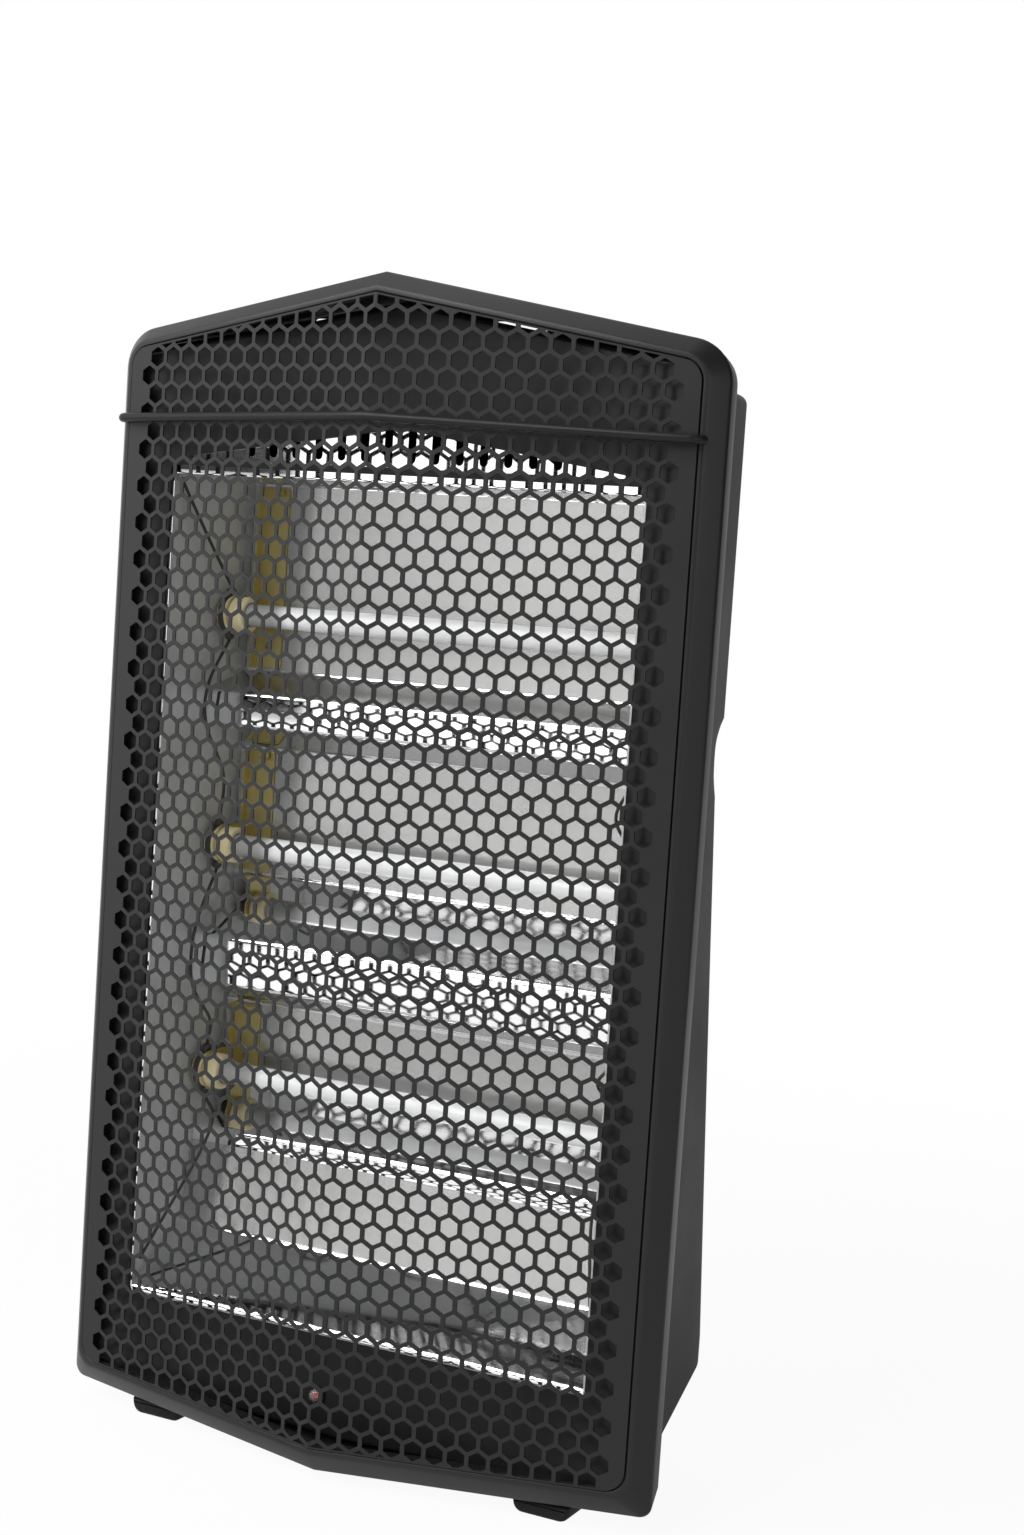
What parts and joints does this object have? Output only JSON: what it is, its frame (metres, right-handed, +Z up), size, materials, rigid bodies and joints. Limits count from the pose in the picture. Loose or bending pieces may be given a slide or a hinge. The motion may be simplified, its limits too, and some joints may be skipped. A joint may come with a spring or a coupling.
{
  "type": "quartz_radiant_heater",
  "caption": "Upright quartz radiant room heater with a folded hexagon guard, a polished stepped reflector behind three tubes, a moulded rear housing and two feet",
  "frame": {"origin": "Centre of the bounding box in X and Y, with the underside of the feet at Z = 0", "axes": "+Z up, the guard faces -Y, +X is to the right of someone who looks at the front"},
  "size_m": [0.338, 0.158, 0.594],
  "materials": {
    "black_moulding": "Satin black moulded plastic",
    "painted_steel": "Satin black paint on sheet and rod",
    "polished": "Mirror polished sheet",
    "gold": "Yellow passivated steel strip",
    "steel": "Bright zinc plating",
    "quartz": "Frosted milky quartz glass",
    "resistance_wire": "Dull oxidised resistance wire",
    "ceramic": "Unglazed cream ceramic",
    "lead": "Dark heat-proof sleeving",
    "lens": "Clear red moulded lens"
  },
  "bodies": {
    "body": {"cap_bracket_left_1": "gold", "cap_bracket_left_2": "gold", "cap_bracket_left_3": "gold", "cap_bracket_right_1": "gold", "cap_bracket_right_2": "gold", "cap_bracket_right_3": "gold", "carry_handle": "black_moulding", "ceramic_cap_left_1": "ceramic", "ceramic_cap_left_2": "ceramic", "ceramic_cap_left_3": "ceramic", "ceramic_cap_right_1": "ceramic", "ceramic_cap_right_2": "ceramic", "ceramic_cap_right_3": "ceramic", "cord_gland": "black_moulding", "element_wire_left_1": "lead", "element_wire_left_2": "lead", "element_wire_left_3": "lead", "element_wire_left_4": "lead", "element_wire_right_1": "lead", "element_wire_right_2": "lead", "element_wire_right_3": "lead", "element_wire_right_4": "lead", "flange_screw_left": "steel", "flange_screw_right": "steel", "foot_left": "black_moulding", "foot_right": "black_moulding", "foot_screw_left_front": "steel", "foot_screw_left_rear": "steel", "foot_screw_right_front": "steel", "foot_screw_right_rear": "steel", "front_bezel": "black_moulding", "front_panel": "painted_steel", "guard_rod": "painted_steel", "heating_coil_1": "resistance_wire", "heating_coil_2": "resistance_wire", "heating_coil_3": "resistance_wire", "hex_grille": "painted_steel", "indicator_lamp": "lens", "quartz_tube_1": "quartz", "quartz_tube_2": "quartz", "quartz_tube_3": "quartz", "rear_housing": "black_moulding", "reflector": "polished", "reflector_end_left": "polished", "reflector_end_right": "polished", "rotary_switch": "black_moulding", "terminal_block": "black_moulding", "thermal_cutout": "steel", "tip_spring": "steel", "tip_switch": "black_moulding"},
    "control": {"control_knob": "black_moulding", "switch_shaft": "steel"},
    "plunger": {"tip_plunger": "black_moulding"}
  },
  "joints": [
    {"name": "control_turn", "type": "hinge", "parent": "body", "child": "control", "pos_m": [0.106, 0.01399, 0.548], "axis": [0, 0, -1], "range_deg": [0, 135]},
    {"name": "plunger_slide", "type": "slide", "parent": "body", "child": "plunger", "axis": [0, 0, -1], "range_m": [0, 0.006], "stiffness_N_per_m": 60, "springref_m": 0.012, "deforming": ["tip_spring"]}
  ]
}
